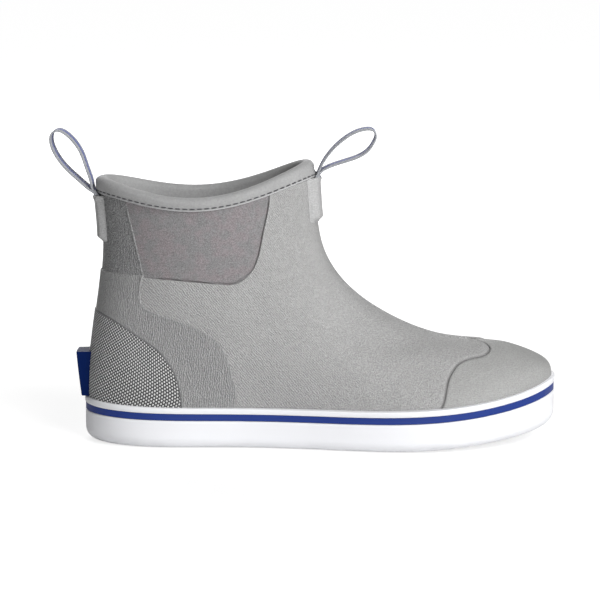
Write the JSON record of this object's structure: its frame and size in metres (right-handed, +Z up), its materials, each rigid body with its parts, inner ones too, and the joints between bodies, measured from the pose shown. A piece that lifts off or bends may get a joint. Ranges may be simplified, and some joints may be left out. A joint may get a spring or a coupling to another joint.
{
  "type": "deck boot",
  "caption": "Right pull-on ankle deck boot with a rubber cup sole, stretch side gores, heel kick tab and webbing pull loops.",
  "frame": {"origin": "middle of the box round the whole boot, on the ground plane under the sole", "axes": "+X from heel to toe, +Y to the medial side of this right boot, +Z up"},
  "size_m": [0.3272, 0.109, 0.2029],
  "materials": {
    "white_rubber": "satin moulded rubber",
    "blue_rubber": "satin moulded rubber",
    "grey_rubber": "matt rubber with a fine diagonal grain",
    "toe_rubber": "matt rubber with a pebble grain",
    "shaft_rubber": "matt rubber with a fine upright grain",
    "counter_rubber": "knurled rubber with raised diamonds",
    "gore_fabric": "ribbed elastic weave",
    "lining_fabric": "fine brushed knit",
    "webbing": "woven tape, grey with a blue middle stripe",
    "foam": "moulded foam",
    "board": "fibre board",
    "glass_fibre": "glass-fibre strip"
  },
  "bodies": {
    "boot": {"outsole": "white_rubber", "foxing_bead": "white_rubber", "foxing_stripe": "blue_rubber", "heel_kick_tab": "blue_rubber", "vamp_shell": "grey_rubber", "toe_cap": "toe_rubber", "rear_quarter_overlay": "grey_rubber", "rear_shaft_panel": "shaft_rubber", "heel_counter": "counter_rubber", "front_loop_patch": "shaft_rubber", "rear_loop_patch": "shaft_rubber", "gore_lateral": "gore_fabric", "gore_medial": "gore_fabric", "lining": "lining_fabric", "collar_binding": "lining_fabric", "footbed_cover": "lining_fabric", "footbed": "foam", "midsole": "foam", "insole_board": "board", "shank": "glass_fibre", "front_loop_tail": "webbing", "rear_loop_tail": "webbing"},
    "front_loop": {"front_pull_loop": "webbing"},
    "rear_loop": {"rear_pull_loop": "webbing"}
  },
  "joints": [
    {"name": "front_loop_fold", "type": "hinge", "parent": "boot", "child": "front_loop", "pos_m": [0.0098, 0, 0.172], "axis": [0, 1, 0], "range_deg": [-6, 75], "stiffness_Nm_per_rad": 0.02},
    {"name": "rear_loop_fold", "type": "hinge", "parent": "boot", "child": "rear_loop", "pos_m": [-0.1368, 0, 0.1616], "axis": [0, -1, 0], "range_deg": [-8, 85], "stiffness_Nm_per_rad": 0.02}
  ]
}
